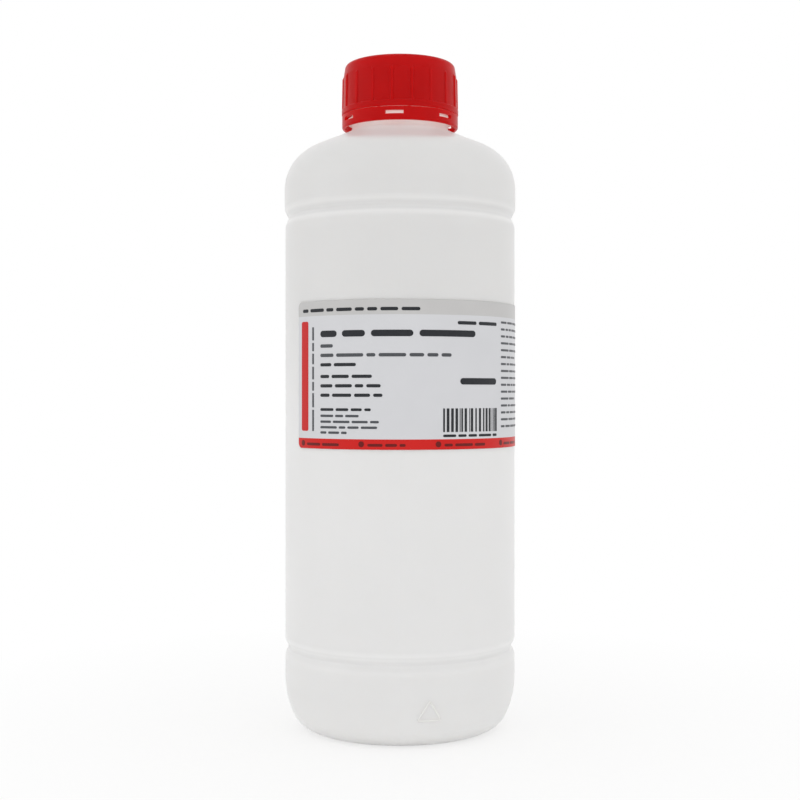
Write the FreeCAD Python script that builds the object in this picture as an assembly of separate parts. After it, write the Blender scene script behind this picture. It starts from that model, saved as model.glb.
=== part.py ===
import FreeCAD, Part
import math
import os

# A one-litre blow-moulded solution bottle with a ribbed screw cap, a tamper-evident ring,
# a foam liner under the cap and a wrap-round label.
# The bottle's axis is Z, it stands on Z = 0, and its front faces -Y.
# Lengths are millimetres and angles are degrees. A bearing is measured from the front
# towards +X, so 0 is the front, 90 the right side and 180 the back.

# Bottle body
body_radius = 41.75
body_wall = 1.2
base_corner_radius = 9.3
base_flank_radius = 31.5
base_flank_turn = 25.0
standing_ring_width = 3.0
push_up_height = 3.2
push_up_flat_radius = 12.0
push_up_blend_radius = 14.0
standing_ring_edge = 2.5
base_lip_height = 10.7
panel_height = 155.3
groove_half_height = 3.1
groove_depth = 1.4
groove_root_radius = 1.2
groove_edge_radius = 4.2
shoulder_proud = 0.3
shoulder_lip_height = 10.2
shoulder_radius = 16.5
shoulder_slope = 23.3

# Neck
neck_radius = 17.5
neck_wall = 2.0
neck_fillet = 2.0
rim_edge_radius = 0.5
collar_proud = 2.0
collar_height = 2.4
collar_land = 0.9
collar_edge_radius = 0.3

# Screw thread, shared by the neck and the cap
thread_pitch = 4.2
thread_height = 1.25
thread_root_width = 2.5
thread_crest_width = 0.9
neck_thread_turns = 1.5
neck_thread_above_collar = 7.7
neck_thread_below_rim = 2.3
cap_thread_root_width = 2.0
cap_thread_crest_width = 0.8
cap_thread_turns = 1.5
cap_thread_lead = 0.25
thread_fade_turns = 0.125
thread_end_share = 0.08
thread_start_bearing = 30.0
thread_embed = 0.3
thread_radial_clearance = 0.4
thread_flank_clearance = 0.3
thread_sections_per_turn = 24

# Screw cap
cap_wall = 1.45
cap_draft = 0.2
cap_top_wall = 1.35
cap_collar_gap = 0.3
crown_height = 4.6
crown_inset = 0.75
crown_edge_radius = 1.8
skirt_bead_height = 2.2
skirt_bead_proud = 0.48
skirt_bead_edge = 0.35
skirt_mouth_chamfer = 1.0
cap_corner_radius = 0.5
gate_dimple_radius = 2.0
gate_dimple_depth = 0.3
rib_count = 18
rib_first_bearing = -8.0
rib_proud = 0.42
rib_root_width = 1.6
rib_crest_width = 0.7
rib_end_slope = 0.8
rib_end_share = 0.1
rib_embed = 0.4

# Cap liner
liner_thickness = 1.2
liner_side_clearance = 0.5
liner_face_clearance = 0.05

# Tamper-evident ring
band_wall = 1.1
band_above_shoulder = 0.85
band_collar_clearance = 0.55
band_slit = 0.25
band_edge_radius = 0.25
band_foot_radius = 0.8
window_sides = 2
windows_per_side = 3
window_middle_bearing = -5.5
window_spacing = 56.0
window_width = 18.0
window_height = 1.3
window_above_hook = 0.15
hook_above_band_foot = 0.45
hook_collar_gap = 0.3
hook_neck_clearance = 0.8
hook_tip_height = 0.6
hook_root_height = 1.5
bridge_count = 12
bridge_first_bearing = 9.0
bridge_width = 1.0
bridge_clearance = 0.1
bridge_side_inset = 0.15

# Wrap label
label_below_groove = 32.0
label_height = 50.7
label_bare_strip = 58.0
label_start_bearing = -57.5
label_thickness = 0.1
label_glue_gap = 0.12
label_corner_radius = 2.0

# Places worked out from the sizes above
FULL_TURN = 360.0
FRONT_ANGLE = -90.0
ORIGIN = FreeCAD.Vector(0, 0, 0)
UP = FreeCAD.Vector(0, 0, 1)

flank_turn = math.radians(base_flank_turn)
flank_setback = base_flank_radius * math.tan(flank_turn / 2)
corner_setback = base_corner_radius * math.tan((math.pi / 2 - flank_turn) / 2)
flank_run = flank_setback + corner_setback
flank_corner_height = flank_run * math.cos(flank_turn)
base_corner_place = body_radius - flank_run * math.sin(flank_turn)
standing_ring_inner = base_corner_place - corner_setback - standing_ring_width

lower_groove_height = flank_corner_height + flank_setback + base_lip_height
upper_groove_height = lower_groove_height + panel_height

slope_rise = math.tan(math.radians(shoulder_slope))
shoulder_setback = shoulder_radius * math.tan(math.radians(90.0 - shoulder_slope) / 2)
shoulder_lip_radius = body_radius + shoulder_proud
shoulder_corner_height = upper_groove_height + shoulder_lip_height + shoulder_setback
shoulder_top_height = shoulder_corner_height + (shoulder_lip_radius - neck_radius) * slope_rise

band_bottom = shoulder_top_height + band_above_shoulder
hook_bottom = band_bottom + hook_above_band_foot
hook_top = hook_bottom + hook_root_height
hook_tip_radius = neck_radius + hook_neck_clearance
window_bottom = hook_top + window_above_hook

collar_radius = neck_radius + collar_proud
collar_bottom = hook_top + hook_collar_gap
collar_top = collar_bottom + collar_height

neck_bore_radius = neck_radius - neck_wall
neck_crest_radius = neck_radius + thread_height
neck_thread_bottom = collar_top + neck_thread_above_collar
neck_thread_top = neck_thread_bottom + neck_thread_turns * thread_pitch
rim_height = neck_thread_top + neck_thread_below_rim

cap_bore_radius = neck_crest_radius + thread_radial_clearance
cap_crest_radius = neck_radius + thread_radial_clearance
cap_skirt_radius = cap_bore_radius + cap_wall
cap_foot_radius = cap_skirt_radius + cap_draft
cap_bead_radius = cap_foot_radius + skirt_bead_proud
cap_bottom = collar_top + cap_collar_gap
cap_ceiling = rim_height + liner_thickness + 2 * liner_face_clearance
cap_top = cap_ceiling + cap_top_wall
cap_bead_top = cap_bottom + skirt_bead_height
crown_bottom = cap_top - crown_height

band_inner_radius = collar_radius + band_collar_clearance
band_outer_radius = band_inner_radius + band_wall
band_top = cap_bottom - band_slit

label_inner_radius = body_radius + label_glue_gap
label_top = upper_groove_height - label_below_groove
label_bottom = label_top - label_height
label_sweep = FULL_TURN - math.degrees(label_bare_strip / label_inner_radius)


def unit(start, end):
    """Direction from one (x, z) point to another, and the distance between them."""
    length = math.hypot(end[0] - start[0], end[1] - start[1])
    return ((end[0] - start[0]) / length, (end[1] - start[1]) / length), length


def on_section(point):
    """A point of a half section, given as (radius, height), in space."""
    return FreeCAD.Vector(point[0], 0, point[1])


def rounded_face(corners):
    """A closed half section through (radius, height, rounding) corners, as a face."""
    stations = []
    for index, (x, z, rounding) in enumerate(corners):
        before = corners[index - 1]
        after = corners[(index + 1) % len(corners)]
        way_in, _ = unit(before, (x, z))
        way_out, _ = unit((x, z), after)
        cosine = way_in[0] * way_out[0] + way_in[1] * way_out[1]
        half_turn = math.acos(max(-1.0, min(1.0, cosine))) / 2
        setback = rounding * math.tan(half_turn)
        first = (x - way_in[0] * setback, z - way_in[1] * setback)
        last = (x + way_out[0] * setback, z + way_out[1] * setback)
        middle = None
        if rounding > 0:
            bisector, _ = unit((0, 0), (way_out[0] - way_in[0], way_out[1] - way_in[1]))
            reach = rounding / math.cos(half_turn) - rounding
            middle = (x + bisector[0] * reach, z + bisector[1] * reach)
        stations.append((first, middle, last))
    edges = []
    for index, (first, middle, last) in enumerate(stations):
        if middle is not None:
            edges.append(Part.Arc(on_section(first), on_section(middle), on_section(last)).toShape())
        start = on_section(last)
        end = on_section(stations[(index + 1) % len(stations)][0])
        if start.distanceToPoint(end) > 1e-6:
            edges.append(Part.LineSegment(start, end).toShape())
    return Part.Face(Part.Wire(edges))


def inset_corners(corners, insets):
    """The corners moved to the left of their path, each stretch by its own inset, roundings kept concentric."""
    lines = []
    for start, end, inset in zip(corners, corners[1:], insets):
        way, _ = unit(start, end)
        lines.append(((start[0] - way[1] * inset, start[1] + way[0] * inset), way))
    moved = [(*lines[0][0], 0.0)]
    for index, ((p, u), (q, v)) in enumerate(zip(lines, lines[1:])):
        cross = u[0] * v[1] - u[1] * v[0]
        along = ((q[0] - p[0]) * v[1] - (q[1] - p[1]) * v[0]) / cross
        rounding = corners[index + 1][2]
        inset = min(insets[index], insets[index + 1])
        rounding = rounding - inset if cross > 0 else rounding + inset
        moved.append((p[0] + u[0] * along, p[1] + u[1] * along, max(rounding, 0.0)))
    return moved


def turned(face, bearing=0.0, sweep=FULL_TURN):
    """The half section turned about the axis, starting at a bearing."""
    start = face.copy()
    start.rotate(ORIGIN, UP, FRONT_ANGLE + bearing)
    return start.revolve(ORIGIN, UP, sweep)


def ring_block(inner, outer, bottom, top, bearing, width):
    """A plain block of a ring, centred on a bearing and as wide as an angle."""
    corners = [(inner, bottom, 0), (outer, bottom, 0), (outer, top, 0), (inner, top, 0)]
    return turned(rounded_face(corners), bearing - width / 2, width)


def bearings(count, first):
    """Equally spaced bearings round the axis."""
    return [first + FULL_TURN * index / count for index in range(count)]


def thread_ridge(root, crest, root_width, crest_width, bottom, turns, start_bearing):
    """A right-hand helical ridge from a root radius to a crest radius, fading out at both ends."""
    outward = 1 if crest > root else -1
    flank = (root_width - crest_width) / 2 / abs(crest - root)
    buried = root - outward * thread_embed
    buried_half = root_width / 2 + flank * thread_embed
    count = round(turns * thread_sections_per_turn)
    sections = []
    for index in range(count + 1):
        turn = turns * index / count
        ramp = min(1.0, turn / thread_fade_turns, (turns - turn) / thread_fade_turns)
        share = thread_end_share + (1 - thread_end_share) * ramp * ramp * (3 - 2 * ramp)
        height = bottom + turn * thread_pitch
        tip = root + (crest - root) * share
        tip_half = (root_width + (crest_width - root_width) * share) / 2
        outline = [
            (buried, height - buried_half),
            (tip, height - tip_half),
            (tip, height + tip_half),
            (buried, height + buried_half),
        ]
        points = [on_section(point) for point in outline]
        section = Part.makePolygon([*points, points[0]])
        section.rotate(ORIGIN, UP, FRONT_ANGLE + start_bearing + turn * FULL_TURN)
        sections.append(section)
    return Part.makeLoft(sections, True, False)


def groove_corners(height, lower_radius, upper_radius):
    """A shallow V groove round the body, with a rounded root and soft edges."""
    return [
        (lower_radius, height - groove_half_height, groove_edge_radius),
        (lower_radius - groove_depth, height, groove_root_radius),
        (upper_radius, height + groove_half_height, groove_edge_radius),
    ]


def body_outline():
    """The outside of the body as corners, from the middle of the base up to the neck."""
    return [
        (0, push_up_height, 0),
        (push_up_flat_radius, push_up_height, push_up_blend_radius),
        (standing_ring_inner, 0, standing_ring_edge),
        (base_corner_place, 0, base_corner_radius),
        (body_radius, flank_corner_height, base_flank_radius),
        *groove_corners(lower_groove_height, body_radius, body_radius),
        *groove_corners(upper_groove_height, body_radius, shoulder_lip_radius),
        (shoulder_lip_radius, shoulder_corner_height, shoulder_radius),
        (neck_radius, shoulder_top_height, neck_fillet),
    ]


def neck_outline():
    """The outside of the neck as corners, from under the collar up to the rim."""
    return [
        (neck_radius, collar_bottom, collar_edge_radius),
        (collar_radius, collar_bottom, collar_edge_radius),
        (collar_radius, collar_bottom + collar_land, collar_edge_radius),
        (neck_radius, collar_top, collar_edge_radius),
        (neck_radius, rim_height, rim_edge_radius),
        (neck_bore_radius, rim_height, rim_edge_radius),
    ]


def hollow_outline():
    """The inside of the bottle as corners, from the middle of the base up to the neck's bore."""
    path = [*body_outline(), (neck_radius, rim_height, 0)]
    insets = [body_wall] * (len(path) - 2) + [neck_wall]
    return inset_corners(path, insets)


def bottle_body():
    """The blow-moulded bottle: one even wall, a thicker neck, a retaining collar and a neck thread."""
    wall = [*body_outline(), *neck_outline(), *reversed(hollow_outline())]
    ridge = thread_ridge(
        neck_radius,
        neck_crest_radius,
        thread_root_width,
        thread_crest_width,
        neck_thread_bottom,
        neck_thread_turns,
        thread_start_bearing,
    )
    return turned(rounded_face(wall)).fuse(ridge).removeSplitter()


def bottle_hollow():
    """The space inside the bottle up to the rim, for its capacity."""
    corners = [*hollow_outline(), (neck_bore_radius, rim_height, 0), (0, rim_height, 0)]
    return turned(rounded_face(corners))


def cap_rib(bearing):
    """One upright grip rib, drafted like the skirt and sloped off at its upper end."""

    def section(height, proud):
        rise = (crown_bottom - height) / (crown_bottom - cap_bead_top)
        skirt = cap_skirt_radius + cap_draft * rise
        outline = [
            (skirt - rib_embed, -rib_root_width / 2),
            (skirt + proud, -rib_crest_width / 2),
            (skirt + proud, rib_crest_width / 2),
            (skirt - rib_embed, rib_root_width / 2),
        ]
        points = [FreeCAD.Vector(x, y, height) for x, y in outline]
        return Part.makePolygon([*points, points[0]])

    sections = [
        section(cap_bead_top - skirt_bead_edge, rib_proud),
        section(crown_bottom - rib_end_slope, rib_proud),
        section(crown_bottom, rib_proud * rib_end_share),
    ]
    rib = Part.makeLoft(sections, True, True)
    rib.rotate(ORIGIN, UP, FRONT_ANGLE + bearing)
    return rib


def screw_cap():
    """The cap: crown, drafted skirt with grip ribs, a bead round its foot and the thread inside."""
    shell = [
        (0, cap_ceiling, 0),
        (cap_bore_radius, cap_ceiling, cap_corner_radius),
        (cap_bore_radius, cap_bottom + skirt_mouth_chamfer, cap_corner_radius),
        (cap_bore_radius + skirt_mouth_chamfer, cap_bottom, 0),
        (cap_bead_radius, cap_bottom, skirt_bead_edge),
        (cap_bead_radius, cap_bead_top, skirt_bead_edge),
        (cap_foot_radius, cap_bead_top, 0),
        (cap_skirt_radius, crown_bottom, crown_edge_radius),
        (cap_skirt_radius - crown_inset, cap_top, crown_edge_radius),
        (gate_dimple_radius, cap_top, 0),
        (gate_dimple_radius - gate_dimple_depth, cap_top - gate_dimple_depth, 0),
        (0, cap_top - gate_dimple_depth, 0),
    ]
    neck_ridge_share = (cap_crest_radius - neck_radius) / thread_height
    neck_ridge_width = thread_root_width + (thread_crest_width - thread_root_width) * neck_ridge_share
    below_neck_ridge = (neck_ridge_width + cap_thread_crest_width) / 2 + thread_flank_clearance
    ridge = thread_ridge(
        cap_bore_radius,
        cap_crest_radius,
        cap_thread_root_width,
        cap_thread_crest_width,
        neck_thread_bottom - cap_thread_lead * thread_pitch - below_neck_ridge,
        cap_thread_turns,
        thread_start_bearing - cap_thread_lead * FULL_TURN,
    )
    ribs = [cap_rib(bearing) for bearing in bearings(rib_count, rib_first_bearing)]
    return turned(rounded_face(shell)).fuse([ridge, *ribs]).removeSplitter()


def cap_liner():
    """The foam disc clamped between the cap's ceiling and the neck's rim."""
    radius = cap_bore_radius - liner_side_clearance
    seat = FreeCAD.Vector(0, 0, rim_height + liner_face_clearance)
    return Part.makeCylinder(radius, liner_thickness, seat, UP)


def retaining_hook(bearing):
    """One inward hook of the ring, flat on top to catch the collar and sloped below to ride over it."""
    buried = band_inner_radius + band_wall / 2
    corners = [
        (buried, hook_top, 0),
        (hook_tip_radius, hook_top, 0),
        (hook_tip_radius, hook_top - hook_tip_height, 0),
        (band_inner_radius, hook_bottom, 0),
        (buried, hook_bottom, 0),
    ]
    return turned(rounded_face(corners), bearing - window_width / 2, window_width)


def break_bridge(bearing):
    """One frangible web on the ring's upper edge, which snaps from the cap at the first opening."""
    width = math.degrees(bridge_width / band_outer_radius)
    inner = band_inner_radius + bridge_side_inset
    outer = band_outer_radius - bridge_side_inset
    bottom = band_top - band_edge_radius
    return ring_block(inner, outer, bottom, cap_bottom - bridge_clearance, bearing, width)


def window_bearings():
    """The windows' bearings: a group on each side of the ring, closer together than an even share."""
    steps = [index - (windows_per_side - 1) / 2 for index in range(windows_per_side)]
    sides = bearings(window_sides, window_middle_bearing)
    return [middle + window_spacing * step for middle in sides for step in steps]


def tamper_band():
    """The tamper-evident ring: windows, a retaining hook under each window, and the break bridges."""
    ring = rounded_face(
        [
            (band_inner_radius, band_bottom, band_edge_radius),
            (band_outer_radius, band_bottom, band_foot_radius),
            (band_outer_radius, band_top, 0),
            (band_inner_radius, band_top, 0),
        ]
    )
    places = window_bearings()
    windows = [
        ring_block(
            band_inner_radius - band_wall,
            band_outer_radius + band_wall,
            window_bottom,
            window_bottom + window_height,
            bearing,
            window_width,
        )
        for bearing in places
    ]
    hooks = [retaining_hook(bearing) for bearing in places]
    bridges = [break_bridge(bearing) for bearing in bearings(bridge_count, bridge_first_bearing)]
    return turned(ring).fuse([*hooks, *bridges]).cut(windows).removeSplitter()


def wrap_label():
    """The label: a thin sheet round the straight wall, with rounded corners and a bare strip between its ends."""
    outer = label_inner_radius + label_thickness
    middle = label_start_bearing + label_sweep / 2
    sheet = ring_block(label_inner_radius, outer, label_bottom, label_top, middle, label_sweep)
    corner_edges = [edge for edge in sheet.Edges if edge.Length < 2 * label_thickness]
    return sheet.makeFillet(label_corner_radius, corner_edges)


def main():
    pieces = {
        "bottle_body": bottle_body(),
        "screw_cap": screw_cap(),
        "cap_liner": cap_liner(),
        "tamper_band": tamper_band(),
        "wrap_label": wrap_label(),
    }
    os.makedirs("parts", exist_ok=True)
    for name, shape in pieces.items():
        shape.exportStep(os.path.join("parts", name + ".step"))
        print(f"{name}: valid {shape.isValid()}, solids {len(shape.Solids)}, volume {shape.Volume:.1f} mm3")
    print(f"brimful capacity {bottle_hollow().Volume / 1000:.0f} ml, overall height {cap_top:.2f} mm")
    print(f"rim {rim_height:.2f}, shoulder top {shoulder_top_height:.2f}, collar {collar_bottom:.2f} to {collar_top:.2f}")
    print(f"cap {cap_bottom:.2f} to {cap_top:.2f}, band {band_bottom:.2f} to {band_top:.2f}, hooks top {hook_top:.2f}")
    print(f"radii: cap bead {cap_bead_radius:.2f}, skirt {cap_skirt_radius:.2f}, band {band_outer_radius:.2f}")


main()
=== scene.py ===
# %% [markdown]
# # A milky one-litre bottle with a red screw cap
# The real object is a blow-moulded polyethylene bottle with a moulded red cap, a tamper band under the cap
# and one long label wrapped round its middle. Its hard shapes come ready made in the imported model, so they
# could be copied, redrawn or kept. They are kept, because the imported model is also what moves: this lesson
# gives each piece its finish and adds the fine things that are too thin for a solid, which are the print on
# the label and the marks of the mould.

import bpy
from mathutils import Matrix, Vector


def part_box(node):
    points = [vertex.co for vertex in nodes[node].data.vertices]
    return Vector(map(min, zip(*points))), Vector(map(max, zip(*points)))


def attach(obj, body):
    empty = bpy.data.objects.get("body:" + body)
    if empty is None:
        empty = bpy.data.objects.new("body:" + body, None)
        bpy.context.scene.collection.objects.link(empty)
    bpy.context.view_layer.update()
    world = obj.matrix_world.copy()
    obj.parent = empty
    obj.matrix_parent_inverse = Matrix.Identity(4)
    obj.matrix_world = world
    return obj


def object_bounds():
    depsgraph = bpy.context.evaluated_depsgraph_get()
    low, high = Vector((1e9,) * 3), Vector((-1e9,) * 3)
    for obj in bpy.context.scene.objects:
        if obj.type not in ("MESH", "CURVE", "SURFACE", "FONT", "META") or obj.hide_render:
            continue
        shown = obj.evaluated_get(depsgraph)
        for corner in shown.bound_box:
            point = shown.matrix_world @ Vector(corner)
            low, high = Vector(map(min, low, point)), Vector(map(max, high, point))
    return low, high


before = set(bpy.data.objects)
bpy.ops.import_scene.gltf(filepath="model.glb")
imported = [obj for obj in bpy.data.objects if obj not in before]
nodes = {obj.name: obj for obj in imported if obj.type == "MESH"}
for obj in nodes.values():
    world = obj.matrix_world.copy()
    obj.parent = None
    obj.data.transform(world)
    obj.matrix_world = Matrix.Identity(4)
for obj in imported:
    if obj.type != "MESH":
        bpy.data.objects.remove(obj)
cad_low, cad_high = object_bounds()
mm = 0.001
print("pieces of the packed model:", ", ".join(sorted(nodes)))
print("size of the packed model in mm:", [round(side / mm, 1) for side in cad_high - cad_low])

# %% [markdown]
# ## The camera
# A product picture of a bottle is usually taken level, from about half a metre, with the lens opposite the
# label. The camera could be aimed with a tracking constraint, but a level camera keeps upright sides
# upright, so it is only turned to look along +Y. The small lens shift frames the bottle without tilting the
# camera.

# %% Camera
import math

import bpy

image_pixels = 800
focal_pixels = 1395.1
sensor_width = 36.0
horizon_above_middle = 7.6
camera_distance = 0.5104
camera_height = 0.1213

scene = bpy.context.scene
scene.view_settings.view_transform = "Standard"
camera_data = bpy.data.cameras.new("camera")
camera_data.sensor_width = sensor_width
camera_data.lens = sensor_width * focal_pixels / image_pixels
camera_data.shift_y = -horizon_above_middle / image_pixels
camera = bpy.data.objects.new("camera", camera_data)
camera.location = (0.0, -camera_distance, camera_height)
camera.rotation_euler = (math.radians(90.0), 0.0, 0.0)
scene.collection.objects.link(camera)
scene.camera = camera
print("lens in mm:", round(camera_data.lens, 2), "shift:", round(camera_data.shift_y, 4))

# %% [markdown]
# ## Helpers for node trees
# Every finish below is a small tree of shader nodes. Clicking them together by hand is how one learns them,
# and code that makes, sets and joins a node in one line keeps the trees short enough to read as a recipe. A
# socket can be fed with a number, a colour or another node's output. A Mix node has sockets for several
# kinds of data under the same names, so the three for colours are picked by their place in the row.

# %% Node helpers
mix_first, mix_second, mix_result = 6, 7, 2


def add_node(tree, kind, **settings):
    node = tree.nodes.new(kind)
    for name, value in settings.items():
        setattr(node, name, value)
    return node


def feed(tree, source, socket):
    if isinstance(source, (int, float)):
        socket.default_value = source
    elif isinstance(source, tuple):
        socket.default_value = (*source, 1.0)
    else:
        tree.links.new(source, socket)


def math_node(tree, operation, first, second=0.0):
    node = add_node(tree, "ShaderNodeMath", operation=operation)
    feed(tree, first, node.inputs[0])
    feed(tree, second, node.inputs[1])
    return node.outputs["Value"]


def remapped(tree, source, old, new):
    node = add_node(tree, "ShaderNodeMapRange")
    for side, (low, high) in (("From", old), ("To", new)):
        node.inputs[side + " Min"].default_value = low
        node.inputs[side + " Max"].default_value = high
    feed(tree, source, node.inputs["Value"])
    return node.outputs["Result"]


def mixed(tree, share, first, second, blend_type="MIX"):
    node = add_node(tree, "ShaderNodeMix", data_type="RGBA", blend_type=blend_type)
    feed(tree, share, node.inputs["Factor"])
    feed(tree, first, node.inputs[mix_first])
    feed(tree, second, node.inputs[mix_second])
    return node.outputs[mix_result]


def own_space(tree):
    return add_node(tree, "ShaderNodeTexCoord").outputs["Object"]


print("node helpers ready")

# %% [markdown]
# ## The light tent
# Shiny white plastic is photographed inside a tent of white cloth, so that it mirrors nothing but white.
# The world stands for the tent: it is white where the camera or a mirror looks at it, and dimmer as a
# light, so that pale plastic keeps its modelling instead of clipping to white.

# %% White surround
tent_light = 0.90
whole = (0.0, 1.0)


def seen_directly(tree):
    path = add_node(tree, "ShaderNodeLightPath").outputs
    mirrored = math_node(tree, "MAXIMUM", path["Is Glossy Ray"], path["Is Transmission Ray"])
    return math_node(tree, "MAXIMUM", path["Is Camera Ray"], mirrored)


world = bpy.data.worlds.new("white_tent")
world.use_nodes = True
scene.world = world
world_tree = world.node_tree
background = world_tree.nodes["Background"]
feed(world_tree, (1.0, 1.0, 1.0), background.inputs["Color"])
world_strength = remapped(world_tree, seen_directly(world_tree), whole, (tent_light, 1.0))
feed(world_tree, world_strength, background.inputs["Strength"])
print("tent lights at", tent_light, "and shows at 1.0")

# %% [markdown]
# ## The floor
# The bottle stands on a pale board that runs on into the white of the tent. A board that is only lit would
# end in a grey edge at the horizon, so away from the bottle its shade fades to the white that the camera
# sees behind it, and near the bottle it keeps the soft shadow that holds the object down.

# %% Floor board
floor_half = 4.0
floor_corners = ((-1, -1), (1, -1), (1, 1), (-1, 1))

floor_mesh = bpy.data.meshes.new("floor")
floor_mesh.from_pydata([(floor_half * x, floor_half * y, 0.0) for x, y in floor_corners], [], [(0, 1, 2, 3)])
floor = bpy.data.objects.new("floor", floor_mesh)
scene.collection.objects.link(floor)
print("floor of", 2 * floor_half, "m")

# %% Pale board finish
board_tones = ((0.93, 0.93, 0.925), (0.96, 0.96, 0.958))
board_roughness = 0.7
fibre_scale = 220.0
shadow_reach = (0.04, 0.22)
shadow_share = 0.34

pale_board = bpy.data.materials.new("pale_board")
pale_board.use_nodes = True
tree = pale_board.node_tree
board = tree.nodes["Principled BSDF"]
board.inputs["Roughness"].default_value = board_roughness
place = own_space(tree)
fibres = add_node(tree, "ShaderNodeTexNoise")
fibres.inputs["Scale"].default_value = fibre_scale
feed(tree, place, fibres.inputs["Vector"])
feed(tree, mixed(tree, fibres.outputs["Fac"], *board_tones), board.inputs["Base Color"])
distance = add_node(tree, "ShaderNodeVectorMath", operation="LENGTH")
feed(tree, place, distance.inputs[0])
paleness = remapped(tree, distance.outputs["Value"], shadow_reach, (1.0 - shadow_share, 1.0))
white = add_node(tree, "ShaderNodeEmission")
blend = add_node(tree, "ShaderNodeMixShader")
feed(tree, math_node(tree, "MULTIPLY", paleness, seen_directly(tree)), blend.inputs["Fac"])
feed(tree, board.outputs["BSDF"], blend.inputs[1])
feed(tree, white.outputs["Emission"], blend.inputs[2])
feed(tree, blend.outputs["Shader"], tree.nodes["Material Output"].inputs["Surface"])
floor.data.materials.append(pale_board)
print("shadow fades out", shadow_reach[1], "m from the bottle's axis")

# %% [markdown]
# ## Lamps
# Two wide soft boxes stand at the sides, the left one a little stronger, a third hangs above and a low one
# in front lifts the foot of the bottle. Small lamps would draw hard spots on the shoulder, and wide ones
# draw the long soft glints that tell a wall is round. The front one is the smallest for its strength, so it
# is hidden from mirror rays and only fills the shade. Each row gives a lamp's place and size in metres and
# its watts.

# %% Lamps
from mathutils import Vector

bottle_middle = Vector((0.0, 0.0, 0.5 * (cad_low.z + cad_high.z)))
soft_boxes = {
    "soft_box_left": ((-0.95, -0.30, 0.22), (0.7, 0.8), 0.45),
    "soft_box_right": ((0.95, -0.22, 0.22), (0.7, 0.8), 0.3),
    "soft_box_above": ((0.0, 0.10, 1.15), (0.9, 0.9), 0.2),
    "soft_box_front": ((0.0, -1.10, 0.03), (0.9, 0.25), 1.9),
}
fill_lamp = "soft_box_front"

for name, (stand, size, watts) in soft_boxes.items():
    lamp_data = bpy.data.lights.new(name, "AREA")
    lamp_data.shape = "RECTANGLE"
    lamp_data.size, lamp_data.size_y = size
    lamp_data.energy = watts
    lamp = bpy.data.objects.new(name, lamp_data)
    lamp.location = stand
    lamp.visible_glossy = name != fill_lamp
    lamp.rotation_euler = (bottle_middle - Vector(stand)).to_track_quat("-Z", "Y").to_euler()
    scene.collection.objects.link(lamp)

print("lamps:", ", ".join(soft_boxes))

# %% [markdown]
# ## Two effects that several finishes share
# Moulded plastic is never a perfect mirror: the tool's sand-blasted skin leaves a fine grain, and shrinkage
# leaves slow waves. A bottle that has been packed and picked up also has faint smudges and hair scratches.
# Both effects turn up in several materials at different strengths, so each is a node group, made once and
# placed with its own values. They are measured in the object's own space, so they need no unwrapping and
# stay put when a piece moves.

# %% Group helpers
def effect_group(name, inputs, outputs):
    group = bpy.data.node_groups.new(name, "ShaderNodeTree")
    for socket_name, value in inputs.items():
        socket = group.interface.new_socket(socket_name, in_out="INPUT", socket_type="NodeSocketFloat")
        socket.default_value = value
    for socket_name in outputs:
        group.interface.new_socket(socket_name, in_out="OUTPUT", socket_type="NodeSocketFloat")
    return group, add_node(group, "NodeGroupInput").outputs, add_node(group, "NodeGroupOutput").inputs


def noise(tree, place, scale, detail, roughness=0.5):
    node = add_node(tree, "ShaderNodeTexNoise")
    node.inputs["Detail"].default_value = detail
    node.inputs["Roughness"].default_value = roughness
    feed(tree, place, node.inputs["Vector"])
    feed(tree, scale, node.inputs["Scale"])
    return node.outputs["Fac"]


print("group helpers ready")

# %% [markdown]
# ### Moulded skin
# Slow waves from cooling and the grain of the tool are two noises at very different scales. Added up they
# are a height for bump, and the waves alone also serve to cloud a colour.

# %% Moulded skin
moulded_skin, given, result = effect_group(
    "moulded_skin", {"Wave Scale": 45.0, "Grain Scale": 1800.0, "Grain Share": 0.3}, ["Height", "Cloud"])
place = own_space(moulded_skin)
waves = noise(moulded_skin, place, given["Wave Scale"], detail=2.0)
grain = noise(moulded_skin, place, given["Grain Scale"], detail=3.0, roughness=0.6)
fine = math_node(moulded_skin, "MULTIPLY", grain, given["Grain Share"])
feed(moulded_skin, math_node(moulded_skin, "ADD", waves, fine), result["Height"])
feed(moulded_skin, waves, result["Cloud"])
print("effect:", moulded_skin.name)

# %% [markdown]
# ### Handling marks
# Smudges are the upper part of a cloudy noise. A hair scratch is drawn where a stretched and slanted noise
# passes through its middle value, which is a long thin line.

# %% Handling marks
smudge_starts, smudge_full = 0.48, 0.72
scratch_slant = (0.5, 0.9, 0.3)
scratch_stretch = (1.0, 14.0, 0.35)
noise_middle = 0.5
scratch_half = 0.006

handling_marks, given, result = effect_group(
    "handling_marks", {"Smudge Scale": 60.0, "Scratch Scale": 90.0}, ["Smudge", "Scratch"])
place = own_space(handling_marks)
clouds = noise(handling_marks, place, given["Smudge Scale"], detail=5.0, roughness=0.65)
feed(handling_marks, remapped(handling_marks, clouds, (smudge_starts, smudge_full), whole), result["Smudge"])
slant = add_node(handling_marks, "ShaderNodeMapping")
slant.inputs["Rotation"].default_value = scratch_slant
slant.inputs["Scale"].default_value = scratch_stretch
feed(handling_marks, place, slant.inputs["Vector"])
hair = noise(handling_marks, slant.outputs["Vector"], given["Scratch Scale"], detail=2.0, roughness=0.4)
off_line = math_node(handling_marks, "ABSOLUTE", math_node(handling_marks, "SUBTRACT", hair, noise_middle))
feed(handling_marks, remapped(handling_marks, off_line, (0.0, scratch_half), (1.0, 0.0)), result["Scratch"])
print("effect:", handling_marks.name)

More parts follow.
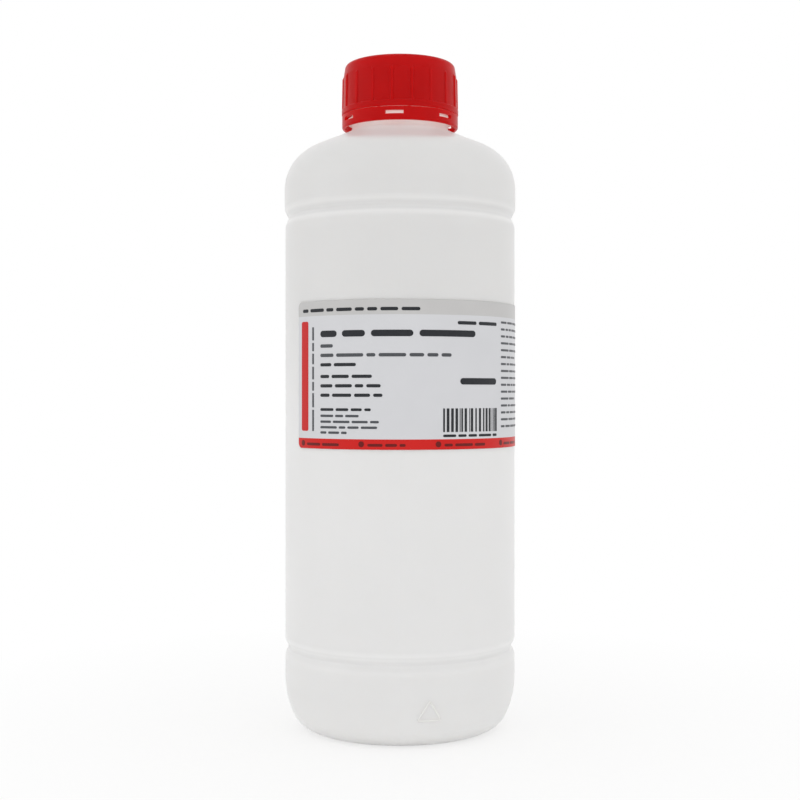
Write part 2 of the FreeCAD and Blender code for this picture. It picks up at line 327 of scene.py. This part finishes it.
# %% [markdown]
# ## Material helpers
# The Principled shader covers every finish here. The first helper starts a material with it, sets the
# values that are the same all over, and places the two shared effects, so that each finish below only says
# what is special about it. Thin plastic also lets light pass. Full transmission would make it look like
# glass, so for one kind of ray alone, never the camera's, the shader gives way to a tinted Transparent one.

# %% Material helpers
def start_finish(name, skin, marks, **constants):
    finish = bpy.data.materials.new(name)
    finish.use_nodes = True
    tree = finish.node_tree
    shader = tree.nodes["Principled BSDF"]
    for socket_name, value in constants.items():
        shader.inputs[socket_name.replace("_", " ")].default_value = value
    placed = []
    for group, values in ((moulded_skin, skin), (handling_marks, marks)):
        node = add_node(tree, "ShaderNodeGroup", node_tree=group)
        for socket_name, value in values.items():
            node.inputs[socket_name].default_value = value
        placed.append(node.outputs)
    return finish, tree, shader, *placed


def skin_of(wave, grain, share):
    return {"Wave Scale": wave, "Grain Scale": grain, "Grain Share": share}


def marks_of(smudge, scratch):
    return {"Smudge Scale": smudge, "Scratch Scale": scratch}


def bump(tree, shader, height, strength, distance):
    node = add_node(tree, "ShaderNodeBump")
    node.inputs["Strength"].default_value = strength
    node.inputs["Distance"].default_value = distance
    feed(tree, height, node.inputs["Height"])
    feed(tree, node.outputs["Normal"], shader.inputs["Normal"])


def worn_roughness(tree, shader, marks, clean, smudged, scratch_adds):
    base = remapped(tree, marks["Smudge"], whole, (clean, smudged))
    added = math_node(tree, "MULTIPLY", marks["Scratch"], scratch_adds)
    feed(tree, math_node(tree, "ADD", base, added), shader.inputs["Roughness"])


def let_light_through(tree, shader, kind_of_ray, tint):
    path = add_node(tree, "ShaderNodeLightPath")
    through = add_node(tree, "ShaderNodeBsdfTransparent")
    feed(tree, tint, through.inputs["Color"])
    blend = add_node(tree, "ShaderNodeMixShader")
    feed(tree, path.outputs[kind_of_ray], blend.inputs["Fac"])
    feed(tree, shader.outputs["BSDF"], blend.inputs[1])
    feed(tree, through.outputs["BSDF"], blend.inputs[2])
    feed(tree, blend.outputs["Shader"], tree.nodes["Material Output"].inputs["Surface"])


def dress(piece, finish):
    piece.data.materials.clear()
    piece.data.materials.append(finish)
    print(piece.name, "wears", finish.name)


print("material helpers ready")

# %% [markdown]
# ## Milky polyethylene
# Unpigmented polyethylene is white because light scatters inside it, so shade in its grooves is washed out
# and the wall looks soft. A plain white paint would look like plaster. A part of the light therefore goes
# under the surface and some goes right through. Light and shade are also painted into the colour by height.
# A ramp over the height makes the upper body darker and paints light on the foot and on the neck under the
# band, where the real wall lies in shade. A few narrow bands paint light along the edges of the grooves,
# which washes out the shade there. Their heights are in millimetres.

# %% Tones and painted light by height
# Painted light and shade by height: the foot and the neck under the band are painted paler, the upper body
# darker.
height_tones_painted_light = ((0.0, 1.03), (5.0, 1.03), (16.0, 0.975), (30.0, 0.975), (35.0, 1.0),
              (108.0, 1.0), (154.0, 0.87), (213.0, 0.87), (216.0, 1.06), (218.6, 1.06), (219.4, 0.84))
# Painted light: narrow pale bands at these heights wash out the rendered shade in the grooves.
painted_groove_light = ((29.6, 0.5), (30.9, 0.8), (32.2, 0.9), (182.7, 0.7), (184.6, 0.45), (187.0, 0.45))
painted_groove_light_half = 1.5
painted_light_lift = 1.05
ramp_middle = 0.5


def by_height(tree, height, tones):
    ramp = add_node(tree, "ShaderNodeValToRGB")
    stops = ramp.color_ramp.elements
    while len(stops) < len(tones):
        stops.new(ramp_middle)
    for stop, (level, tone) in zip(stops, tones):
        stop.position = level * mm / cad_high.z
        stop.color = (tone, tone, tone, 1.0)
    feed(tree, remapped(tree, height, (0.0, cad_high.z), whole), ramp.inputs["Fac"])
    return ramp.outputs["Color"]


def near_height(tree, height, level, strength):
    away = math_node(tree, "ABSOLUTE", math_node(tree, "SUBTRACT", height, level * mm))
    return remapped(tree, away, (0.0, painted_groove_light_half * mm), (strength, 0.0))


def height_in(tree):
    place = add_node(tree, "ShaderNodeSeparateXYZ")
    feed(tree, own_space(tree), place.inputs["Vector"])
    return place.outputs["Z"]


# Mixes the clouded tone with the height ramp of painted light and shade and with the painted groove light.
def wall_colour_with_painted_light(tree, cloud, thin, thick):
    height = height_in(tree)
    clouded = mixed(tree, cloud, thin, thick)
    toned = mixed(tree, 1.0, clouded, by_height(tree, height, height_tones_painted_light), "MULTIPLY")
    # Painted groove light: the colour is blended towards a paler tone near each band.
    painted_light_share = 0.0
    for level, strength in painted_groove_light:
        painted_light_share = math_node(tree, "MAXIMUM", painted_light_share, near_height(tree, height, level, strength))
    painted_light_tone = tuple(min(1.0, painted_light_lift * channel) for channel in thick)
    return mixed(tree, painted_light_share, toned, painted_light_tone)


print("the wall has", len(height_tones_painted_light), "tones and", len(painted_groove_light), "pale bands")

# %% [markdown]
# ### The bottle's skin
# The skin is satin, with slow waves from cooling and few marks. The finish is a function, because the thin
# beads that the mould leaves are of the same plastic but too slim to scatter light inside.

# %% Bottle body finish
wall_passes = (0.35, 0.345, 0.338)


def milky_finish(name, scattered, thin, thick):
    finish, tree, shader, skin, marks = start_finish(
        name, skin_of(26.0, 1500.0, 0.22), marks_of(42.0, 60.0), IOR=1.53,
        Subsurface_Weight=scattered, Subsurface_Radius=(1.0, 0.96, 0.9), Subsurface_Scale=5.0 * mm)
    feed(tree, wall_colour_with_painted_light(tree, skin["Cloud"], thin, thick), shader.inputs["Base Color"])
    worn_roughness(tree, shader, marks, clean=0.28, smudged=0.37, scratch_adds=0.05)
    bump(tree, shader, skin["Height"], strength=0.22, distance=0.6 * mm)
    let_light_through(tree, shader, "Is Shadow Ray", wall_passes)
    return finish


milky_polyethylene = milky_finish(
    "milky_polyethylene", scattered=0.55, thin=(0.890, 0.874, 0.852), thick=(0.934, 0.919, 0.898))
dress(nodes["bottle_body"], milky_polyethylene)

# %% [markdown]
# ## Red cap plastic
# The cap and the band under it are moulded together from one red polypropylene, so they share one finish.
# The colour is deep and even with a faint swirl where the pigment flowed, and handling has dulled it in
# places. The thin red walls glow a little and tint the neck behind them.

# %% Cap finish
red_tones = ((0.42, 0.0040, 0.0045), (0.49, 0.0055, 0.0060))
red_passes = (1.0, 0.82, 0.80)

red_plastic, tree, shader, skin, marks = start_finish(
    "red_plastic", skin_of(120.0, 2600.0, 0.35), marks_of(110.0, 160.0), IOR=1.49, Specular_IOR_Level=0.07,
    Subsurface_Weight=0.6, Subsurface_Radius=(1.0, 0.12, 0.1), Subsurface_Scale=4.0 * mm)
feed(tree, mixed(tree, skin["Cloud"], *red_tones), shader.inputs["Base Color"])
worn_roughness(tree, shader, marks, clean=0.30, smudged=0.40, scratch_adds=0.10)
bump(tree, shader, skin["Height"], strength=0.18, distance=0.3 * mm)
let_light_through(tree, shader, "Is Diffuse Ray", red_passes)
dress(nodes["screw_cap"], red_plastic)
dress(nodes["tamper_band"], red_plastic)

# %% [markdown]
# ## Foam liner
# Inside the cap lies a disc of closed-cell foam that seals on the rim. Its skin is matt and dimpled by
# cells about half a millimetre wide, which a Voronoi texture gives directly.

# %% Liner finish
foam_tones = ((0.76, 0.755, 0.74), (0.84, 0.835, 0.82))
cells_per_metre = 1900.0

white_foam, tree, shader, skin, marks = start_finish(
    "white_foam", skin_of(160.0, 3000.0, 0.4), marks_of(120.0, 160.0), Specular_IOR_Level=0.3)
feed(tree, mixed(tree, skin["Cloud"], *foam_tones), shader.inputs["Base Color"])
worn_roughness(tree, shader, marks, clean=0.75, smudged=0.85, scratch_adds=0.05)
cells = add_node(tree, "ShaderNodeTexVoronoi")
cells.inputs["Scale"].default_value = cells_per_metre
feed(tree, own_space(tree), cells.inputs["Vector"])
bump(tree, shader, cells.outputs["Distance"], strength=0.5, distance=0.3 * mm)
dress(nodes["cap_liner"], white_foam)

# %% [markdown]
# ## Label film
# The label is a smooth coated film, a shade cooler than the bottle, printed with a grey strip along its
# head and a red strip along its foot. The strips could be thin pieces laid on top, but they run to the
# label's own rounded ends, so they are painted by height in the material: a step at each strip's edge picks
# the colour.

# %% Label finish
header_height = 5.1 * mm
footer_height = 3.5 * mm
field_tones = ((0.62, 0.623, 0.643), (0.656, 0.659, 0.679))
header_tones = ((0.52, 0.513, 0.508), (0.56, 0.553, 0.548))
footer_tones = ((0.56, 0.008, 0.006), (0.62, 0.011, 0.008))
label_low, label_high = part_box("wrap_label")

label_film, tree, shader, skin, marks = start_finish(
    "label_film", skin_of(70.0, 2400.0, 0.25), marks_of(55.0, 90.0), IOR=1.48, Specular_IOR_Level=0.25)
height = height_in(tree)
in_header = math_node(tree, "GREATER_THAN", height, label_high.z - header_height)
in_footer = math_node(tree, "LESS_THAN", height, label_low.z + footer_height)
field, header, footer = (
    mixed(tree, skin["Cloud"], *tones) for tones in (field_tones, header_tones, footer_tones))
printed = mixed(tree, in_footer, mixed(tree, in_header, field, header), footer)
feed(tree, printed, shader.inputs["Base Color"])
worn_roughness(tree, shader, marks, clean=0.36, smudged=0.46, scratch_adds=0.06)
bump(tree, shader, skin["Height"], strength=0.12, distance=0.3 * mm)
dress(nodes["wrap_label"], label_film)

# %% [markdown]
# ## Print on the label
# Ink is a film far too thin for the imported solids. A picture could be wrapped round the label, but here
# every mark is a thin raised bar that follows the label's curve, so it stays sharp close up. A point of the
# print is given by the run round the label from its left end and the rise above its foot, both in
# millimetres. The left end is measured: it is the first point of the label on the front half of the bottle.

# %% Places on the label
ink_lift = 0.05
front_half_starts = math.radians(-90.0)
label_points = [vertex.co for vertex in nodes["wrap_label"].data.vertices]
label_radius = max(math.hypot(point.x, point.y) for point in label_points)
label_bearings = [math.atan2(point.x, -point.y) for point in label_points]
label_start = min(bearing for bearing in label_bearings if bearing > front_half_starts)


def on_label(run, rise, lift):
    bearing = label_start + run * mm / label_radius
    radius = label_radius + lift * mm
    return (radius * math.sin(bearing), -radius * math.cos(bearing), label_low.z + rise * mm)


print("label radius in mm:", round(label_radius / mm, 3))
print("label starts at", round(math.degrees(label_start), 2), "degrees")

# %% [markdown]
# ### Sheets of ink
# All marks of one ink are gathered in one sheet and become one mesh. A mark is a row of stations along the
# run. Each has four corners, two on the film and two on top of the ink, so that the mark is a closed solid.
# Round ends take a few more stations, placed on a quarter circle.

# %% Ink sheets
longest_step = 1.2
corner_turns = (12.0, 30.0, 50.0, 70.0, 90.0)
station_corners = 4


class InkSheet:
    def __init__(self):
        self.points = []
        self.faces = []

    def patch(self, run, low, high):
        first = len(self.points)
        for station, foot, head in zip(run, low, high):
            self.points += [on_label(station, rise, lift) for rise, lift in
                            ((foot, 0.0), (head, 0.0), (head, ink_lift), (foot, ink_lift))]
        for column in range(len(run) - 1):
            near = first + station_corners * column
            far = near + station_corners
            for side in range(station_corners):
                after = (side + 1) % station_corners
                self.faces.append((near + side, far + side, far + after, near + after))
        last = len(self.points) - station_corners
        self.faces.append(tuple(first + side for side in range(station_corners)))
        self.faces.append(tuple(last + side for side in reversed(range(station_corners))))

    def bar(self, run_from, run_to, low, high, corner=0.0):
        run, inset = [run_from], [0.0]
        if corner:
            turns = [math.radians(turn) for turn in corner_turns]
            run = [run_from + corner * (1.0 - math.cos(turn)) for turn in turns]
            inset = [corner * (1.0 - math.sin(turn)) for turn in turns]
        mirrored = [run_from + run_to - station for station in reversed(run)]
        straight = mirrored[0] - run[-1]
        steps = max(1, math.ceil(straight / longest_step))
        between = [run[-1] + straight * step / steps for step in range(1, steps)]
        insets = inset + [0.0] * len(between) + inset[::-1]
        foot = [low + side for side in insets]
        head = [high - side for side in insets]
        self.patch(run + between + mirrored, foot, head)

    def piece(self, name, finish):
        mesh = bpy.data.meshes.new(name)
        mesh.from_pydata(self.points, [], self.faces)
        mesh.validate()
        made = bpy.data.objects.new(name, mesh)
        scene.collection.objects.link(made)
        mesh.materials.append(finish)
        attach(made, "bottle")
        print(name, "has", len(self.faces), "faces")


dark_print = InkSheet()
small_print = InkSheet()
red_print = InkSheet()
footer_print = InkSheet()
print("four empty sheets of ink")

# %% [markdown]
# ### Placeholder words
# A label that has nothing to say can be set the way a designer blocks in a page before the text is written:
# every word is a plain bar with round ends, as thick as small letters are tall. The lengths come from
# seeded dice, so that the bars have the rhythm of words and are the same in every run.

# %% Placeholder words
import random

bar_share = 0.58
space_share = 0.55
shortest_word, longest_word = 1.4, 5.2
upright_corner_share = 0.2
dice = random.Random(7)


def word_bars(length, tall):
    bars = []
    along = 0.0
    while along < length - tall:
        end = along + tall * dice.uniform(shortest_word, longest_word)
        if end > length - tall:
            end = length
        bars.append((along, end))
        along = end + space_share * tall
    return bars


def print_line(ink, run, base, length, tall):
    thick = bar_share * tall
    for start, end in word_bars(length, tall):
        ink.bar(run + start, run + end, base, base + thick, 0.5 * thick)


def print_upright(ink, run, base, length, tall):
    thick = bar_share * tall
    for start, end in word_bars(length, tall):
        ink.bar(run - thick, run, base + start, base + end, upright_corner_share * thick)


print("a sample line has", len(word_bars(40.0, 2.0)), "words")

# %% [markdown]
# ### Front of the label
# The front has a head line, a title and a few facts. Each row of the list is one line of placeholder words:
# its ink, the run at its left end, the rise of its base, its length and its height, all in millimetres.

# %% Front lines
text_left = 12.4
front_lines = (
    (dark_print, 3.0, 46.9, 46.0, 2.0),
    (dark_print, text_left, 38.2, 57.5, 3.8),
    (small_print, text_left, 34.6, 5.5, 2.0),
    (small_print, text_left, 31.4, 50.0, 2.0),
    (dark_print, text_left, 28.2, 16.5, 1.9),
    (dark_print, text_left, 24.2, 22.4, 1.9),
    (dark_print, text_left, 21.0, 23.2, 1.9),
    (dark_print, text_left, 17.8, 23.8, 1.9),
    (dark_print, text_left, 13.0, 19.8, 1.6),
    (small_print, text_left, 10.9, 17.0, 1.4),
    (small_print, text_left, 8.9, 22.6, 1.4),
    (small_print, text_left, 7.0, 22.0, 1.4),
    (small_print, text_left, 5.2, 12.6, 1.4),
    (dark_print, 62.5, 42.4, 18.5, 2.0),
    (dark_print, 63.5, 22.0, 17.2, 3.8),
)

for ink, run, base, length, tall in front_lines:
    print_line(ink, run, base, length, tall)
print("front of the label has", len(front_lines), "lines")

# %% [markdown]
# ### Bar block and stripe
# At the lower right stands a block of upright bars, whose widths are one, two or three units by the throw
# of the dice, with a line under it. A plain red stripe with a line beside it closes the left end.

# %% Bar block and stripe
block_from, block_to = 57.0, 80.6
block_foot, block_head = 5.9, 13.9
bar_unit = 0.33
stripe_from, stripe_to = 2.2, 6.2
stripe_foot, stripe_head = 6.0, 43.8
stripe_corner = 0.8

block_run = block_from
while block_run < block_to:
    bar_width = bar_unit * dice.randint(1, 3)
    dark_print.bar(block_run, block_run + bar_width, block_foot, block_head)
    block_run += bar_width + bar_unit * dice.randint(1, 3)
print_line(dark_print, block_from, base=4.2, length=24.0, tall=1.5)
red_print.bar(stripe_from, stripe_to, stripe_foot, stripe_head, stripe_corner)
print_upright(small_print, run=9.2, base=stripe_foot, length=stripe_head - stripe_foot, tall=1.5)
print("bar block ends at a run of", round(block_run, 2))

# %% [markdown]
# ### Columns and foot line
# Narrow columns of small print run on round the back. Every sixth line is short, as at the end of a
# paragraph. The red strip along the foot carries a few words, each group led by a round dot.

# %% Columns and foot line
printed_length = 205.0
end_margin = 2.0
column_runs = (84.0, 115.5, 147.0, 176.0)
column_width = 27.5
column_lines = 16
column_top = 43.4
line_pitch = 2.42
paragraph_lines = 6
short_line = 0.55
foot_groups = ((5.4, 15.0), (31.0, 13.0), (57.5, 17.0), (86.0, 14.0),
               (118.0, 17.0), (150.0, 14.0), (178.0, 15.0))
dot_from, dot_to = -3.2, -1.2
dot_foot, dot_head = 0.8, 2.8
dot_corner = 0.98

for column_run in column_runs:
    width = min(column_width, printed_length - end_margin - column_run)
    for line in range(column_lines):
        ends_paragraph = line % paragraph_lines == paragraph_lines - 1
        length = width * (short_line if ends_paragraph else 1.0)
        print_line(small_print, column_run, column_top - line_pitch * line, length, tall=1.3)

for run, length in foot_groups:
    print_line(footer_print, run, base=1.05, length=length, tall=1.6)
    footer_print.bar(run + dot_from, run + dot_to, dot_foot, dot_head, dot_corner)
print("set", len(column_runs), "columns and", len(foot_groups), "groups along the foot")

# %% [markdown]
# ### Inks
# Offset ink lies in a very thin, slightly uneven film. Dark print, small print, red print and the print on
# the red strip dry to different colours. One helper makes all four inks: the colour varies a little with
# the density of the ink, and the two shared effects run on across ink and label alike.

# %% Inks
ink_grain = 1400.0


def ink_finish(name, thin, dense):
    finish, tree, shader, skin, marks = start_finish(
        name, skin_of(90.0, 2600.0, 0.3), marks_of(55.0, 90.0), IOR=1.5, Specular_IOR_Level=0.2)
    density = noise(tree, own_space(tree), ink_grain, detail=3.0, roughness=0.6)
    feed(tree, mixed(tree, density, thin, dense), shader.inputs["Base Color"])
    worn_roughness(tree, shader, marks, clean=0.38, smudged=0.46, scratch_adds=0.06)
    bump(tree, shader, skin["Height"], strength=0.1, distance=0.2 * mm)
    return finish


dark_ink = ink_finish("dark_ink", (0.030, 0.033, 0.038), (0.014, 0.015, 0.018))
grey_ink = ink_finish("grey_ink", (0.10, 0.105, 0.115), (0.055, 0.058, 0.065))
red_ink = ink_finish("red_ink", (0.60, 0.022, 0.020), (0.52, 0.012, 0.012))
maroon_ink = ink_finish("maroon_ink", (0.17, 0.010, 0.009), (0.11, 0.007, 0.006))
dark_print.piece("label_dark_print", dark_ink)
small_print.piece("label_small_print", grey_ink)
red_print.piece("label_red_print", red_ink)
footer_print.piece("label_footer_print", maroon_ink)

# %% [markdown]
# ## Marks of the mould
# The bottle is blown between two halves of a mould, which leave fine raised lines. A displacement texture
# would need a much denser wall, so each mark is a slim bead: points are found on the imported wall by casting
# rays at it, and a small rounded section is carried along them, half sunk in.

# %% Mould bead helpers
wall = nodes["bottle_body"]
bead_section = ((-1.0, -0.4), (-0.75, 0.35), (-0.3, 0.9), (0.3, 0.9), (0.75, 0.35), (1.0, -0.4))
milky_bead = milky_finish(
    "milky_mould_bead", scattered=0.0, thin=(0.775, 0.762, 0.743), thick=(0.815, 0.802, 0.783))


def touch(origin, direction):
    hit, point, normal, _ = wall.ray_cast(Vector(origin), Vector(direction).normalized())
    if not hit:
        raise ValueError("a ray missed the bottle wall")
    return point, normal


def bead_mesh(name, trail, half_width, rise, closed):
    count, ring = len(trail), len(bead_section)
    points, faces = [], []
    for index, (point, normal) in enumerate(trail):
        before = trail[index - 1][0] if closed or index else point
        after = trail[(index + 1) % count][0] if closed or index + 1 < count else point
        across = (after - before).cross(normal).normalized()
        points += [point + across * (side * half_width) + normal * (up * rise) for side, up in bead_section]
    for index in range(count if closed else count - 1):
        near, far = ring * index, ring * ((index + 1) % count)
        for corner in range(ring):
            after = (corner + 1) % ring
            faces.append((near + corner, near + after, far + after, far + corner))
    if not closed:
        faces.append(tuple(reversed(range(ring))))
        faces.append(tuple(range(len(points) - ring, len(points))))
    mesh = bpy.data.meshes.new(name)
    mesh.from_pydata(points, [], faces)
    return mesh


def bead(name, trail, half_width, rise, closed=False):
    mesh = bead_mesh(name, trail, half_width, rise, closed)
    mesh.validate()
    mesh.shade_smooth()
    made = bpy.data.objects.new(name, mesh)
    scene.collection.objects.link(made)
    mesh.materials.append(milky_bead)
    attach(made, "bottle")
    print(name, "follows", len(trail), "points of the wall")


def evenly(first, last, steps):
    return [first + (last - first) * step / steps for step in range(steps + 1)]


print("bead helpers ready")

# %% [markdown]
# ### Parting lines
# Where the halves of the mould meet, a hair-thin line runs up each side of the bottle. Level rays find the
# straight wall. Round the base and the shoulder's edge, rays that all point at the corner's centre meet the
# wall squarely, and over the dome they come from above. On the right the label lies over the line, so it is
# in two lengths there. Each ray is written for the right side and mirrored for the left.

# %% Parting lines
ray_start = 120.0 * mm
above_bottle = 300.0 * mm
base_corner = (32.5 * mm, 9.3 * mm)
base_sweep = (-70.0, -5.0)
shoulder_corner = (25.2 * mm, 199.5 * mm)
shoulder_sweep = (2.0, 62.0)
dome_outer, dome_inner = 32.5 * mm, 20.5 * mm
wall_foot, wall_head = 10.5 * mm, 198.5 * mm
label_margin = 0.4 * mm
hairline = {"half_width": 0.28 * mm, "rise": 0.13 * mm}


def rays_to_centre(centre, sweep, steps):
    turns = [math.radians(turn) for turn in evenly(*sweep, steps)]
    outward = [(math.cos(turn), math.sin(turn)) for turn in turns]
    return [((centre[0] + ray_start * x, centre[1] + ray_start * z), (-x, -z)) for x, z in outward]


def level_rays(low, high, steps):
    return [((ray_start, height), (-1.0, 0.0)) for height in evenly(low, high, steps)]


def rays_from_above(outer, inner, steps):
    return [((reach, above_bottle), (0.0, -1.0)) for reach in evenly(outer, inner, steps)]


def side_trail(side, rays):
    return [touch((side * x, 0.0, z), (side * out, 0.0, up)) for (x, z), (out, up) in rays]


base_rays = rays_to_centre(base_corner, base_sweep, 14)
shoulder_rays = rays_to_centre(shoulder_corner, shoulder_sweep, 16)
shoulder_rays += rays_from_above(dome_outer, dome_inner, 10)
under_label = base_rays + level_rays(wall_foot, label_low.z - label_margin, 110)
over_label = level_rays(label_high.z + label_margin, wall_head, 60) + shoulder_rays
beside_label = base_rays + level_rays(wall_foot, wall_head, 220) + shoulder_rays
bead("parting_line_low_right", side_trail(1.0, under_label), **hairline)
bead("parting_line_high_right", side_trail(1.0, over_label), **hairline)
bead("parting_line_left", side_trail(-1.0, beside_label), **hairline)

# %% [markdown]
# ### Tool mark
# Low on the front the tool leaves a faint plain triangle. Its corners are given as steps across and up from
# its middle. The points stand half a step away from the corners, so the bead turns each one with a small
# round.

# %% Tool mark
panel_radius = 41.75 * mm
mark_bearing = math.radians(14.0)
mark_middle = 13.6 * mm
mark_corners = ((-4.2 * mm, -3.2 * mm), (4.2 * mm, -3.2 * mm), (0.0, 3.8 * mm))
steps_per_side = 8


def front_touch(across, up):
    bearing = mark_bearing + across / panel_radius
    x, y = math.sin(bearing), -math.cos(bearing)
    return touch((ray_start * x, ray_start * y, mark_middle + up), (-x, -y, 0.0))


mark_trail = []
for start, end in zip(mark_corners, mark_corners[1:] + mark_corners[:1]):
    for step in range(steps_per_side):
        share = (step + 0.5) / steps_per_side
        across, up = (a + (b - a) * share for a, b in zip(start, end))
        mark_trail.append(front_touch(across, up))
bead("mould_triangle", mark_trail, half_width=0.42 * mm, rise=0.08 * mm, closed=True)

# %% [markdown]
# ### Pinched seam
# The closing mould pinches the hot tube shut under the base. That leaves a thicker straight seam, which
# rays from below find on the pushed-up base.

# %% Pinched seam
seam_half = 21.0 * mm
under_bottle = -50.0 * mm

seam_trail = [touch((x, 0.0, under_bottle), (0.0, 0.0, 1.0)) for x in evenly(-seam_half, seam_half, 40)]
bead("pinched_seam", seam_trail, half_width=0.6 * mm, rise=0.4 * mm)
